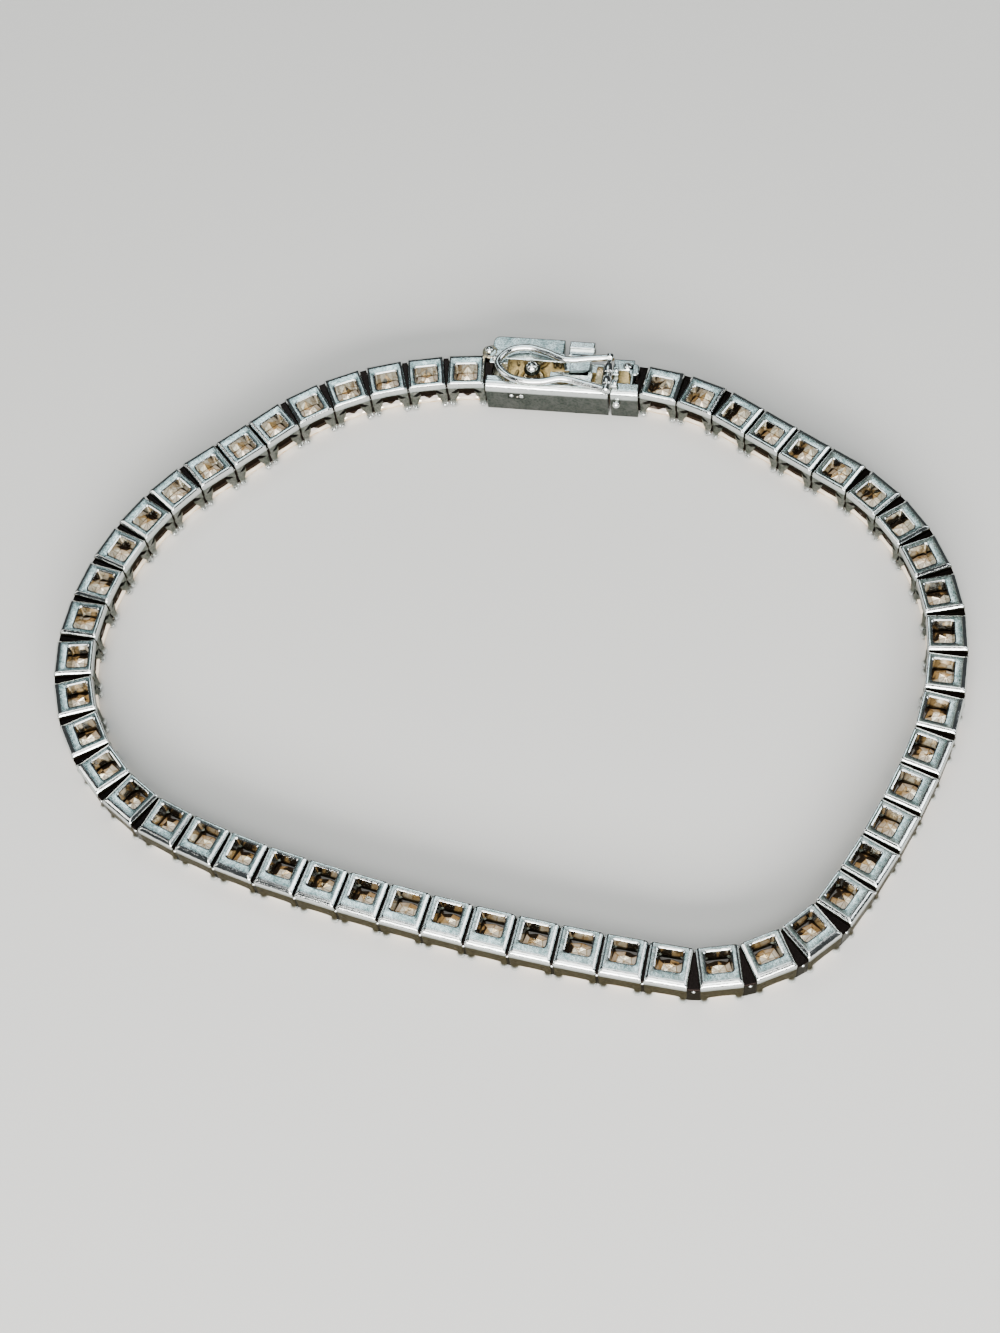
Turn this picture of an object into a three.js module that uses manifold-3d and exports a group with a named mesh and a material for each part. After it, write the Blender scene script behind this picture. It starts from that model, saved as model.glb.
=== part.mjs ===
// Tennis bracelet, fastened and lying on its stones with the backs of the links up.
// Millimetres, +Z up.  +X runs along the clasp from its box to its tongue, and +Y points
// out of the loop there.  The links are drilled square settings whose stones are not solids.
import * as THREE from 'three';
import { mergeVertices } from 'three/addons/utils/BufferGeometryUtils.js';
import Module from 'manifold-3d';

const wasm = await Module();
wasm.setup();

// ---- driving dimensions ----
const LINK_LENGTH = 2.88;     // along the bracelet
const LINK_WIDTH = 2.85;      // across the back plate
const LINK_HEIGHT = 2.95;     // prong tips to back plate
const BAND_HEIGHT = 1.4;      // solid upper band of a link, above the open gallery
const WINDOW_LENGTH = 1.74;   // window in the back plate
const WINDOW_WIDTH = 1.5;
const WINDOW_OFFSET = 0.3;    // the window lies nearer to the inside of the loop
const PRONG_WIDTH = 0.56;
const PRONG_FLARE = 0.15;     // how far a prong's foot stands out from the band
const JOINT_GAP = 0.12;       // between two links in a straight line
const JOINT_SLACK = 1.2;      // a joint opens by this times the tangent of its turn
const BAR = { length: 1.2, width: 0.8, height: 0.6, z: 2.05 };
const RUN_LINKS = [6, 7, 6, 7, 6, 7, 6, 7];

// Each joint of a stretch turns the bracelet by the same angle, anticlockwise from above.
// The stretches go round from the box end of the clasp to its tongue end.
const STRETCHES = [
  { joints: 3, turn: 6 },
  { joints: 3, turn: 9 },
  { joints: 2, turn: -0.5 },
  { joints: 5, turn: 8.5 },
  { joints: 6, turn: 12 },
  { joints: 3, turn: 3 },
  { joints: 9, turn: 1 },
  { joints: 4, turn: 16 },
  { joints: 4, turn: 3 },
  { joints: 3, turn: 7.5 },
  { joints: 5, turn: 11 },
  { joints: 3, turn: 0 },
  { joints: 3, turn: 10 },
];

// Clasp, in its own place: x from the box's link end to the tongue's link end.
const BOX = { x0: -4.4, x1: 5.1, y0: -1.65, y1: 1.85 };
const RECESS = { x0: -2.9, y: 1.0, depth: 1.15 };     // open back of the box, out at its right end
const SIDE_SLOT = { x0: 1.45, depth: 1.05 };          // lets the thumb tab slide out with the tongue
const WING = { x0: -4.3, x1: 1.3, y1: 3.2, top: 2.85, thickness: 0.9 };
const TONGUE = { x0: 5.3, x1: 7.4, y0: -1.65, y1: 1.65, corner: 0.7 };
const LEAF = { x0: 0.4, tip: 0.6, root: 1.3, top: 2.55, thickness: 0.4 };
const TAB = { x0: 1.65, x1: 3.65, y0: 1.95, step: 2.45, y1: 3.2 };
const POST = { x: -0.9, radius: 0.3, ball: 0.5, z: 3.35 };
const END_BALL = { x: -4.5, y: 1.75, z: 2.85, radius: 0.38 };
const SIDE_BALL = { x: 5.75, y: -1.75, z: 1.75, radius: 0.32 };
const NOTCH = { length: 0.9, width: 1.2 };            // takes the end bar of the next link

// Figure-eight safety catch: half of its wire loop, from the hinge to the tip and back.
const WIRE_RADIUS = 0.27;
const CATCH_Z = 3.52;
const HINGE_X = 5.0;
const CATCH_OUTLINE = [
  { x: 5.0, y: 1.3 },
  { x: 3.5, y: 1.1 },
  { x: 1.7, y: 0.85 },
  { x: 0.0, y: 1.45 },
  { x: -1.4, y: 1.75 },
  { x: -2.8, y: 1.4 },
  { x: -3.6, y: 0.2 },
  { x: -2.8, y: -0.9 },
  { x: -1.4, y: -1.4 },
  { x: 0.0, y: -1.35 },
  { x: 1.5, y: -0.95 },
  { x: 3.5, y: -1.35 },
  { x: 5.0, y: -1.75 },
];
const HINGE_ROD = { y0: -1.75, y1: 1.3, radius: 0.2 };
const KNUCKLES = [
  { y0: -1.35, y1: -0.65 },
  { y0: -0.25, y1: 0.6 },
];
const KNUCKLE_RADIUS = 0.42;
const KNUCKLE_BORE = 0.28;

// ---- solids ----
// A closed geometry as a solid, with its shared corners joined.
function solid(geometry) {
  const bare = geometry.index ? geometry.toNonIndexed() : geometry.clone();
  bare.deleteAttribute('normal');
  bare.deleteAttribute('uv');
  const joined = mergeVertices(bare, 1e-5);
  return new wasm.Manifold(new wasm.Mesh({
    numProp: 3,
    vertProperties: new Float32Array(joined.attributes.position.array),
    triVerts: new Uint32Array(joined.index.array),
  }));
}

function geometryOf(manifold) {
  const mesh = manifold.getMesh();
  const geometry = new THREE.BufferGeometry();
  geometry.setAttribute('position', new THREE.BufferAttribute(new Float32Array(mesh.vertProperties), 3));
  geometry.setIndex(new THREE.BufferAttribute(new Uint32Array(mesh.triVerts), 1));
  return geometry;
}

function join(parts) {
  return parts.map(solid).reduce((whole, part) => whole.add(part));
}

// A block between two corners.
function block(x0, x1, y0, y1, z0, z1) {
  const geometry = new THREE.BoxGeometry(x1 - x0, y1 - y0, z1 - z0);
  return geometry.translate((x0 + x1) / 2, (y0 + y1) / 2, (z0 + z1) / 2);
}

// A prism between two heights, over an outline in the XY plane.
function plate(outline, z0, z1) {
  const shape = new THREE.Shape(outline.map(([x, y]) => new THREE.Vector2(x, y)));
  return new THREE.ExtrudeGeometry(shape, { depth: z1 - z0, bevelEnabled: false }).translate(0, 0, z0);
}

function ball(x, y, z, radius) {
  return new THREE.SphereGeometry(radius, 12, 8).translate(x, y, z);
}

// A round bar along Y.
function crossBar(x, y0, y1, z, radius) {
  return new THREE.CylinderGeometry(radius, radius, y1 - y0, 12).translate(x, (y0 + y1) / 2, z);
}

// ---- links ----
// One corner prong: a square post whose foot is moved outwards.
function prong(sideX, sideY) {
  const half = PRONG_WIDTH / 2;
  const top = LINK_HEIGHT - BAND_HEIGHT + 0.1;
  const post = new THREE.BoxGeometry(PRONG_WIDTH, PRONG_WIDTH, top);
  post.translate(sideX * (LINK_LENGTH / 2 - half), sideY * (LINK_WIDTH / 2 - half), top / 2);
  const corners = post.attributes.position;
  for (let i = 0; i < corners.count; i += 1) {
    if (corners.getZ(i) < top / 2) corners.setY(i, corners.getY(i) + sideY * PRONG_FLARE);
  }
  return post;
}

// A square setting with a window through its back, on four prongs.
function linkGeometry() {
  const halfLength = LINK_LENGTH / 2;
  const halfWidth = LINK_WIDTH / 2;
  const band = block(-halfLength, halfLength, -halfWidth, halfWidth, LINK_HEIGHT - BAND_HEIGHT, LINK_HEIGHT);
  const prongs = [prong(1, 1), prong(1, -1), prong(-1, 1), prong(-1, -1)];
  const windowHole = block(-WINDOW_LENGTH / 2, WINDOW_LENGTH / 2, -WINDOW_WIDTH / 2, WINDOW_WIDTH / 2, -1, LINK_HEIGHT + 1);
  windowHole.translate(0, WINDOW_OFFSET, 0);
  return geometryOf(join([band, ...prongs]).subtract(solid(windowHole)));
}

// Follows the stretches round the loop: half a joint's gap on the old heading, half on the new
// one, then a link.  What is left over at the tongue is shared out along the joints.
function route() {
  const turns = STRETCHES.flatMap(({ joints, turn }) => Array(joints).fill(THREE.MathUtils.degToRad(turn)));
  const links = [];
  const bars = [];
  const at = new THREE.Vector2(BOX.x0, 0);
  let heading = Math.PI;
  const move = (distance) => at.add(new THREE.Vector2(Math.cos(heading), Math.sin(heading)).multiplyScalar(distance));
  turns.forEach((turn, joint) => {
    const half = (JOINT_GAP + JOINT_SLACK * Math.abs(Math.tan(turn))) / 2;
    move(half);
    bars.push({ joint, x: at.x, y: at.y, heading: heading + turn / 2 });
    heading += turn;
    move(half);
    if (joint === turns.length - 1) return;
    move(LINK_LENGTH / 2);
    links.push({ joint: joint + 0.5, x: at.x, y: at.y, heading });
    move(LINK_LENGTH / 2);
  });
  const leftX = (TONGUE.x1 - at.x) / turns.length;
  const leftY = -at.y / turns.length;
  const shared = (place) => ({ ...place, x: place.x + leftX * place.joint, y: place.y + leftY * place.joint });
  return { links: links.map(shared), bars: bars.map(shared) };
}

function placed(geometry, place) {
  return geometry.clone().rotateZ(place.heading).translate(place.x, place.y, 0);
}

const { links, bars } = route();
const link = linkGeometry();
const bar = block(-BAR.length / 2, BAR.length / 2, -BAR.width / 2, BAR.width / 2, BAR.z - BAR.height / 2, BAR.z + BAR.height / 2);

// A run of links with the bars between them.  The first and last runs also keep the end bar
// that goes into the clasp.
function linkRun(first, count) {
  const pieces = links.slice(first, first + count).map((place) => placed(link, place));
  const inner = bars.slice(first + 1, first + count);
  if (first === 0) inner.unshift(bars[0]);
  if (first + count === links.length) inner.push(bars[bars.length - 1]);
  return geometryOf(join([...pieces, ...inner.map((place) => placed(bar, place))]));
}

// ---- clasp ----
// The long box with an open back, its side wing, the catch's post and the rivet ball.
function claspBox() {
  const top = LINK_HEIGHT;
  const walls = block(BOX.x0, BOX.x1, BOX.y0, BOX.y1, 0, top);
  const radius = (WING.y1 - BOX.y1) / 2;
  const round = new THREE.CylinderGeometry(radius, radius, WING.thickness, 20).rotateX(Math.PI / 2);
  round.translate(WING.x0 + radius, WING.y1 - radius, WING.top - WING.thickness / 2);
  const wing = block(WING.x0 + radius, WING.x1, BOX.y1 - 0.3, WING.y1, WING.top - WING.thickness, WING.top);
  const stem = new THREE.CylinderGeometry(POST.radius, POST.radius, POST.z - top + RECESS.depth + 0.2, 12);
  stem.rotateX(Math.PI / 2).translate(POST.x, 0, (POST.z + top - RECESS.depth - 0.2) / 2);
  const recess = block(RECESS.x0, BOX.x1 + 1, -RECESS.y, RECESS.y, top - RECESS.depth, top + 1);
  const slot = block(SIDE_SLOT.x0, BOX.x1 + 1, 0, BOX.y1 + 1, top - SIDE_SLOT.depth, top + 1);
  const notch = block(BOX.x0 - 1, BOX.x0 + NOTCH.length, -NOTCH.width / 2, NOTCH.width / 2, BAR.z - 0.6, top + 1);
  const hollow = solid(walls).subtract(join([recess, slot, notch]));
  const added = [wing, round, stem, ball(POST.x, 0, POST.z, POST.ball)];
  added.push(ball(END_BALL.x, END_BALL.y, END_BALL.z, END_BALL.radius));
  return geometryOf(hollow.add(join(added)));
}

// The end block, its spring leaf lying in the box, the stepped thumb tab and the hinge knuckles.
function claspTongue() {
  const top = LINK_HEIGHT;
  const { x0, x1, y0, y1, corner } = TONGUE;
  const end = plate([[x0, y0], [x1, y0], [x1, y1 - corner], [x1 - corner * 0.3, y1 - corner * 0.3], [x1 - corner, y1], [x0, y1]], 0, top);
  const leafBottom = LEAF.top - LEAF.thickness;
  const leaf = plate([[LEAF.x0, -LEAF.tip / 2], [x0 + 0.3, -LEAF.root / 2], [x0 + 0.3, LEAF.root / 2], [LEAF.x0, LEAF.tip / 2]], leafBottom, LEAF.top);
  const arm = block(TAB.x0 + 0.2, TAB.x1 - 0.2, 0, TAB.y0 + 0.3, leafBottom, LEAF.top);
  const lowStep = block(TAB.x0, TAB.x1, TAB.y0, TAB.y1 - 0.2, top - 1.1, LEAF.top);
  const highStep = block(TAB.x0, TAB.x1, TAB.step, TAB.y1, top - 1.1, top - 0.15);
  const knuckles = KNUCKLES.map(({ y0: a, y1: b }) => crossBar(HINGE_X, a, b, CATCH_Z, KNUCKLE_RADIUS));
  const arms = KNUCKLES.map(({ y0: a, y1: b }) => block(HINGE_X, x0 + 0.5, a, b, CATCH_Z - 0.3, CATCH_Z - 0.05));
  const feet = KNUCKLES.map(({ y0: a, y1: b }) => block(x0 + 0.12, x0 + 0.5, a, b, top - 0.3, CATCH_Z - 0.1));
  const bores = crossBar(HINGE_X, -3, 3, CATCH_Z, KNUCKLE_BORE);
  const windowHole = block(x0 + 0.5, x1 - 0.7, -0.55, 0.6, -1, top + 1);
  const notch = block(x1 - 0.5, x1 + 1, -NOTCH.width / 2, NOTCH.width / 2, BAR.z - 0.6, BAR.z + 0.6);
  const whole = join([end, leaf, arm, lowStep, highStep, ...knuckles, ...arms, ...feet]);
  const drilled = whole.subtract(join([bores, windowHole, notch]));
  return geometryOf(drilled.add(solid(ball(SIDE_BALL.x, SIDE_BALL.y, SIDE_BALL.z, SIDE_BALL.radius))));
}

// The catch: a round wire bent to a figure eight, with the hinge rod across its ends.
function safetyCatch() {
  const points = CATCH_OUTLINE.map(({ x, y }) => new THREE.Vector3(x, y, CATCH_Z));
  const path = new THREE.CatmullRomCurve3(points, false, 'centripetal');
  const section = new THREE.Shape();
  section.absarc(0, 0, WIRE_RADIUS, 0, Math.PI * 2);
  const wire = new THREE.ExtrudeGeometry(section, { steps: 44, curveSegments: 4, bevelEnabled: false, extrudePath: path });
  const rod = crossBar(HINGE_X, HINGE_ROD.y0 - 0.1, HINGE_ROD.y1 + 0.1, CATCH_Z, HINGE_ROD.radius);
  const eyes = [HINGE_ROD.y0, HINGE_ROD.y1].map((y) => crossBar(HINGE_X, y - 0.2, y + 0.2, CATCH_Z, 0.36));
  return geometryOf(join([wire, rod, ...eyes]));
}

// ---- assembly ----
function metal(colour, roughness) {
  return new THREE.MeshStandardMaterial({ color: colour, roughness, metalness: 1 });
}

function node(name, geometry, material) {
  const mesh = new THREE.Mesh(geometry, material);
  mesh.name = name;
  return mesh;
}

const bracelet = new THREE.Group();
let firstLink = 0;
RUN_LINKS.forEach((count, i) => {
  bracelet.add(node(`link_run_${i + 1}`, linkRun(firstLink, count), metal(0xd5d8d6, 0.22)));
  firstLink += count;
});
bracelet.add(node('clasp_box', claspBox(), metal(0xd0d3d1, 0.25)));
bracelet.add(node('clasp_tongue', claspTongue(), metal(0xd2d4d0, 0.25)));
bracelet.add(node('safety_catch', safetyCatch(), metal(0xdcdedb, 0.18)));

// The origin is under the middle of the whole bracelet, on the surface that it lies on.
const bounds = new THREE.Box3().setFromObject(bracelet);
bracelet.position.set(-(bounds.min.x + bounds.max.x) / 2, -(bounds.min.y + bounds.max.y) / 2, 0);

export default bracelet;
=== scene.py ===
"""Tennis bracelet: the finished look of its settings, stones, box clasp and safety catch.

Every skin is worked out in millimetres as whole numpy arrays and put into its mesh in metres.
"""

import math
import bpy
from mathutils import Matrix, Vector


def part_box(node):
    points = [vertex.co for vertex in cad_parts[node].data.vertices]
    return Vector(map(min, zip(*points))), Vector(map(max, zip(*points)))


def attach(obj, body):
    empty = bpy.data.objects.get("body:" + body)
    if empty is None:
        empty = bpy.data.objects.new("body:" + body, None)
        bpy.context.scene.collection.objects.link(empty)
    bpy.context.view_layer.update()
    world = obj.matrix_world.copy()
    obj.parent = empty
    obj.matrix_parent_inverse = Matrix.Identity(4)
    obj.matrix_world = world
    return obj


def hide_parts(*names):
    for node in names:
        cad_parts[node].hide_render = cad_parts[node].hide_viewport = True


bl_info = {
    "name": "Tennis Bracelet",
    "version": (1, 0, 0),
    "blender": (4, 5, 0),
    "location": "3D View > Sidebar > Bracelet",
    "description": "Builds the settings, stones, clasp and safety catch of a tennis bracelet",
    "category": "Add Mesh",
}

import bpy
import numpy as np
from bpy.props import FloatProperty, FloatVectorProperty, PointerProperty
from mathutils import Quaternion, Vector

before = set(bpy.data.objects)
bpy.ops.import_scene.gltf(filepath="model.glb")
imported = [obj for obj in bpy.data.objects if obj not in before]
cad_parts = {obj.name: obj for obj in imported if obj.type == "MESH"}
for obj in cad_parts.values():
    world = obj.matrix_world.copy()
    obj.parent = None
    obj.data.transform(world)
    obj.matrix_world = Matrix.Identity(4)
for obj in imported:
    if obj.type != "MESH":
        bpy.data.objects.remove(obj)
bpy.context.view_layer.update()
BOX_LOW, BOX_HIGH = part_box("clasp_box")

MM = 0.001
RUN_LINKS = (6, 7, 6, 7, 6, 7, 6, 7)
GRAIN_STEP = 11.3  # shifts the grain from one copy to the next, so that no two carry the same marks

# Columns: joints in the stretch, degrees that each of them turns the bracelet.
STRETCHES = (
    (3, 6.0),
    (3, 9.0),
    (2, -0.5),
    (5, 8.5),
    (6, 12.0),
    (3, 3.0),
    (9, 1.0),
    (4, 16.0),
    (4, 3.0),
    (3, 7.5),
    (5, 11.0),
    (3, 0.0),
    (3, 10.0),
)

# Clasp, in its own place: x from the box's link end to the tongue's link end, y out of the loop.
BOX_END = -4.4
TONGUE_END = 7.4
RIVET_EDGE = -4.88
WING_EDGE = 3.2
SIDE = -1.65  # inner side of the box and of the tongue
TOP = 2.95
RECESS_FLOOR = 1.86
POST_X = -0.9
HINGE_X = 5.0
HINGE_Z = 3.52
HINGE_BORE = 0.28
KNUCKLE_RADIUS = 0.42
KNUCKLES = ((-1.35, -0.65), (-0.25, 0.6))
WIRE_RADIUS = 0.27

# Columns: x, y of the safety catch's wire, from the hinge round the tip and back.
CATCH_OUTLINE = (
    (5.0, 1.3),
    (3.5, 1.1),
    (1.7, 0.85),
    (0.0, 1.45),
    (-1.4, 1.75),
    (-2.8, 1.4),
    (-3.6, 0.2),
    (-2.8, -0.9),
    (-1.4, -1.4),
    (0.0, -1.35),
    (1.5, -0.95),
    (3.5, -1.35),
    (5.0, -1.75),
)


def length(name, description, default_mm):
    """A length property whose default is given in millimetres."""
    return FloatProperty(
        name=name, description=description, default=default_mm * MM, min=-0.01, unit="LENGTH", precision=5
    )


def colour(name, description, default):
    return FloatVectorProperty(
        name=name, description=description, default=default, size=3, min=0.0, max=1.0, subtype="COLOR"
    )


def share(name, description, default, highest=1.0):
    return FloatProperty(name=name, description=description, default=default, min=0.0, max=highest)


def angle(name, description, degrees):
    return FloatProperty(name=name, description=description, default=math.radians(degrees), subtype="ANGLE")


def in_mm(sizes, names):
    """The named lengths of a group of properties, in millimetres."""
    return [getattr(sizes, name) / MM for name in names.split()]


class BraceletSettingSizes(bpy.types.PropertyGroup):
    link_length: length("Link length", "Length of a setting along the bracelet", 2.88)
    link_width: length("Link width", "Width of a setting across the back plate", 2.85)
    link_height: length("Link height", "From the prong tips to the back plate", 2.95)
    band_height: length("Band height", "Solid upper band above the open gallery", 1.4)
    window_length: length("Window length", "Window in the back plate, along the bracelet", 1.74)
    window_width: length("Window width", "Window in the back plate, across it", 1.5)
    window_offset: length("Window offset", "How far the window lies to the inside of the loop", 0.3)
    window_bevel: length("Window bevel", "Bright cut round the window", 0.07)
    shoulder: length("Outer shoulder", "Rounding along the plate's outer long edge", 0.42)
    inner_shoulder: length("Inner shoulder", "Rounding along the plate's inner long edge", 0.14)
    end_bevel: length("End bevel", "Bevel across the two ends of the plate", 0.24)
    arch: length("Arch", "Rise of the band's lower edge between two prongs", 0.2)
    opening: length("Opening", "Rise of the band's lower edge on the inside of the loop", 0.55)
    apron: length("Apron", "How far the band's outer wall comes down between the prongs", 0.68)
    prong_width: length("Prong width", "Thickness of a corner prong", 0.54)
    prong_flare: length("Prong flare", "How far a prong's foot stands out", 0.15)
    joint_gap: length("Joint gap", "Between two links in a straight line", 0.12)
    joint_slack: length("Joint slack", "Extra opening for each unit of the turn's tangent", 1.2)
    pin_radius: length("Pin radius", "Radius of the cross pin in a joint", 0.14)


class BraceletStoneSizes(bpy.types.PropertyGroup):
    side: length("Side", "Side of the square stone at its girdle", 2.56)
    table: length("Table", "Side of the flat front facet", 1.7)
    table_height: length("Table height", "Height of the front facet above the floor", 0.12)
    girdle: length("Girdle", "Height of the stone's widest part", 0.62)
    culet: length("Culet", "Height of the point at the back", 2.02)


class BraceletFinish(bpy.types.PropertyGroup):
    metal: colour("White metal", "Polished white metal", (0.83, 0.86, 0.85))
    haze: colour("Haze", "Blue-grey haze on worn plates", (0.20, 0.28, 0.27))
    # The gallery colour is a painted olive shade with some dirt, standing for the dark the lower walls and
    # prong stems reflect.
    gallery: colour("Gallery", "Dulled metal low in the gallery", (0.085, 0.072, 0.042))
    # The hollow colour is a painted near-black shade in the clasp's slots and recesses and on its inner side.
    hollow: colour("Hollow", "Darkest metal, in slots and on the clasp's side", (0.022, 0.024, 0.017))
    joint: colour("Joint", "Brown shade in the joints", (0.014, 0.01, 0.009))
    solder: colour("Solder", "Yellowish metal in the clasp's recess", (0.50, 0.33, 0.12))
    # The stone colours are painted light and shade on the facets of clear stones: bright, brown and
    # near-black.
    stone: colour("Stone", "Bright facets of the stones", (1.0, 0.86, 0.68))
    painted_brown: colour("Ember", "Brown facets of the stones", (0.55, 0.32, 0.12))
    shade: colour("Shade", "Dark facets of the stones", (0.032, 0.021, 0.013))
    scratch: share("Scratches", "Strength of the fine scratches", 0.16)


class BraceletStage(bpy.types.PropertyGroup):
    floor: colour("Floor", "Plain pale floor", (0.64, 0.635, 0.62))
    lamp: share("Lamps", "Strength of all the lamps together", 1.0, 10.0)
    sky: share("Sky", "Strength of the even light all round", 0.07, 10.0)
    azimuth: angle("Azimuth", "Where the camera stands round the bracelet", 17.05)
    elevation: angle("Elevation", "How high the camera stands", 61.5)
    roll: angle("Roll", "Turn of the camera about its view", -10.18)
    distance: length("Distance", "From the camera to the point that it looks at", 141.4)
    lens: FloatProperty(name="Lens", description="Focal length for a 36 mm sensor", default=53.75, min=1.0)


def together(*columns):
    """Columns of any shapes that fit each other, side by side along a last axis."""
    return np.stack(np.broadcast_arrays(*columns), -1)


def unit(vectors):
    return vectors / np.linalg.norm(vectors, axis=-1, keepdims=True)


class Skin:
    """A closed skin: points in millimetres, faces of four corners (-1 for no fourth corner), and for
    each point its wear (bright polished edges), its share of patina and painted shade, and its
    painted shading.  Marks that jump from one face to the next are kept on the faces' corners instead."""

    def __init__(self, points, faces, wear=0.0, patina=0.0, tone=0.0, grain=None):
        self.points = np.asarray(points, float)
        self.faces = np.asarray(faces, np.int64)
        self.marks = {
            name: np.broadcast_to(np.asarray(value, float), (len(self.points),)).copy()
            for name, value in (("wear", wear), ("patina", patina), ("tone", tone))
        }
        self.corner_marks = {}
        self.grain = self.points.copy() if grain is None else grain

    def moved(self, x=0.0, y=0.0, z=0.0):
        self.points = self.points + (x, y, z)
        return self


def merged(skins):
    """All the skins as one, each one's face numbers raised by the points before it."""
    before = np.concatenate([[0], np.cumsum([len(s.points) for s in skins])[:-1]])
    faces = np.concatenate([np.where(s.faces < 0, -1, s.faces + b) for s, b in zip(skins, before)])
    whole = Skin(np.concatenate([s.points for s in skins]), faces)
    whole.marks = {k: np.concatenate([s.marks[k] for s in skins]) for k in whole.marks}
    whole.grain = np.concatenate([s.grain for s in skins])
    return whole


def lofted(rings, round_again=False, **marks):
    """A skin through rings of points, each point joined to its neighbours along its own ring and to
    the same point of the next ring.  The last ring joins the first if round_again, and otherwise
    each end ring is closed to its own middle."""
    rings = np.asarray(rings, float)
    count, around = rings.shape[:2]
    i = np.arange(count if round_again else count - 1)[:, None]
    j = np.arange(around)[None]
    k = (j + 1) % around
    far = (i + 1) % count
    faces = together(i * around + j, i * around + k, far * around + k, far * around + j).reshape(-1, 4)
    points = rings.reshape(-1, 3)
    if not round_again:
        low, high = len(points), len(points) + 1
        j, k = j[0], k[0]
        none = np.full(around, -1)
        top = (count - 1) * around
        first = np.stack([k, j, np.full(around, low), none], 1)
        last = np.stack([top + j, top + k, np.full(around, high), none], 1)
        points = np.concatenate([points, rings[[0, -1]].mean(1)])
        faces = np.concatenate([faces, first, last])
    return Skin(points, faces, **marks)


def corner_outline(flats, turns):
    """Numbers for a rounded rectangle, anticlockwise: its point is (px (half_x - r) + qx r,
    py (half_y - r) + qy r), where p runs along the flats and q turns round the corners."""
    t = np.asarray(flats, float)
    a = np.radians(np.linspace(0, 90, turns))
    one_flat, one_turn = np.ones_like(t), np.ones_like(a)
    px = np.concatenate([one_flat, one_turn, -t, -one_turn, -one_flat, -one_turn, t, one_turn])
    py = np.concatenate([t, one_turn, one_flat, one_turn, -t, -one_turn, -one_flat, -one_turn])
    c, s = np.cos(a), np.sin(a)
    qx = np.concatenate([one_flat, c, 0 * t, -s, -one_flat, -c, 0 * t, s])
    qy = np.concatenate([0 * t, s, one_flat, c, 0 * t, -s, -one_flat, -c])
    return px, py, qx, qy


def ring_stack(rows, flats=(-0.95, 0.0, 0.95), turns=4):
    """Rounded rectangles stacked in Z.  Columns of rows: half_x, lowest y, highest y, corner
    radius, z."""
    px, py, qx, qy = corner_outline(flats, turns)
    half_x, low_y, high_y, r, z = np.asarray(rows, float).T[:, :, None]
    half_y = (high_y - low_y) / 2
    r = np.minimum(r, np.minimum(half_x, half_y))
    x = px * (half_x - r) + qx * r
    y = (low_y + high_y) / 2 + py * (half_y - r) + qy * r
    return together(x, y, z)


def rounded_edges(z0, z1, bevel, hold):
    """How far each ring of a block is drawn in, and its height.  The outline moves inwards by
    bevel (1 - cos a) as it rises by bevel sin a.  Further rings, hold from the two flat faces and
    hold from the wall, keep these flat."""
    a = np.radians([90, 60, 30, 0])
    inset, rise = bevel * (1 - np.cos(a)), bevel * np.sin(a)
    insets = np.concatenate([[hold], inset, [0, 0], inset[::-1], [hold]])
    heights = np.concatenate([[z0], z0 + bevel - rise, [z0 + hold, z1 - hold], z1 - bevel + rise[::-1], [z1]])
    return insets, heights


def slab(x0, x1, y0, y1, z0, z1, corner=0.08, bevel=0.06, **marks):
    """A block with rounded upright corners and softly rounded top and bottom edges."""
    hx, hy = (x1 - x0) / 2, (y1 - y0) / 2
    insets, heights = rounded_edges(z0, z1, bevel, bevel * 1.25)
    radii = np.maximum(corner - insets, 0.01)
    rows = np.stack([hx - insets, insets - hy, hy - insets, radii, heights], 1)
    return lofted(ring_stack(rows), **marks).moved((x0 + x1) / 2, (y0 + y1) / 2)


def rounded_profile(y0, y1, z0, z1, radii, stops=(), steps=5):
    """A rectangle in Y and Z with its own radius at each corner, anticlockwise seen from +X.
    radii are those at (y0, z0), (y1, z0), (y1, z1), (y0, z1); stops are heights of further
    points on the y0 side, from the top down.  A point on the flat, hold before and after each
    arc, keeps the flats flat."""
    hold = 0.03
    corners = ((y0, z0, 1, 1, 180), (y1, z0, -1, 1, 270), (y1, z1, -1, -1, 0), (y0, z1, 1, -1, 90))
    arcs = []
    for (y, z, sy, sz, start), r in zip(corners, radii):
        a = np.radians(np.linspace(start, start + 90, steps))
        arc = np.stack([y + sy * r + r * np.cos(a), z + sz * r + r * np.sin(a)], 1)
        ways = np.radians([start - 90, start + 180])
        before, after = np.stack([np.cos(ways), np.sin(ways)], 1) * hold
        arcs.append(np.concatenate([arc[:1] + before, arc, arc[-1:] + after]))
    return np.concatenate([*arcs, *([(y0, z)] for z in stops)])


def rail(x0, x1, y0, y1, z0, z1, radii, bevel=0.06, stops=(), **marks):
    """The rounded profile carried along X, drawn in by the bevel at both ends."""
    profile = rounded_profile(y0, y1, z0, z1, radii, stops)
    middle = np.array([(y0 + y1) / 2, (z0 + z1) / 2])
    half = np.array([(y1 - y0) / 2, (z1 - z0) / 2])
    from_end = bevel * np.array([0, 0.3, 1, 1.3])
    along = np.concatenate([x0 + from_end, x1 - from_end[::-1]])
    drawn = bevel * np.array([1, 0.35, 0, 0, 0, 0, 0.35, 1])
    scale = 1 - drawn[:, None, None] / half
    section = middle + (profile - middle) * scale
    return lofted(together(along[:, None], section[..., 0], section[..., 1]), **marks)


def eased(corners, radii, steps=6):
    """A polygon whose corners are rounded: near a corner the outline is the parabola that leaves
    one side and meets the other at the radius's distance from the corner."""
    p = np.asarray(corners, float)
    reach = np.asarray(radii, float)[:, None]
    back, ahead = np.roll(p, 1, 0) - p, np.roll(p, -1, 0) - p
    start = p + unit(back) * reach
    end = p + unit(ahead) * reach
    t = np.linspace(0, 1, steps)[None, :, None]
    curve = (1 - t) ** 2 * start[:, None] + 2 * t * (1 - t) * p[:, None] + t**2 * end[:, None]
    return curve.reshape(-1, 2)


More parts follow.
